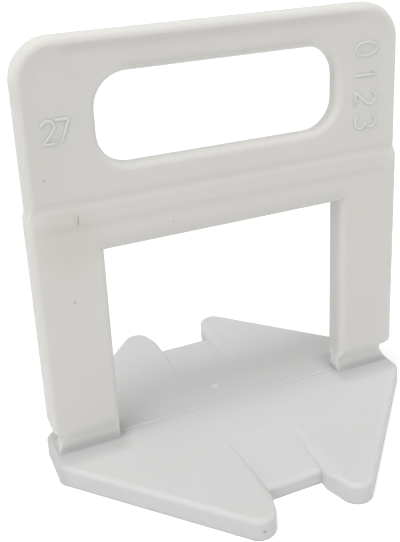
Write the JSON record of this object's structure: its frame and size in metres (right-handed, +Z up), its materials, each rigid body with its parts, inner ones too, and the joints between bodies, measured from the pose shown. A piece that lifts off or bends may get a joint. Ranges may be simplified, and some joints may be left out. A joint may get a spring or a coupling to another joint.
{
  "type": "tile levelling clip",
  "caption": "Arrow-shaped plate with a breakaway upright frame that has a wedge window and a finger hole; it spaces neighbouring tiles and holds them level.",
  "frame": {"origin": "middle of the plate's underside", "axes": "+X along the tile joint, in the plane of the frame; +Y across the joint, towards the rear points; +Z up, from the plate to the handle"},
  "size_m": [0.043, 0.0396, 0.047],
  "materials": {
    "clip_plastic": "satin, milky white polypropylene"
  },
  "bodies": {
    "root": {"levelling_clip": "clip_plastic"}
  },
  "joints": []
}
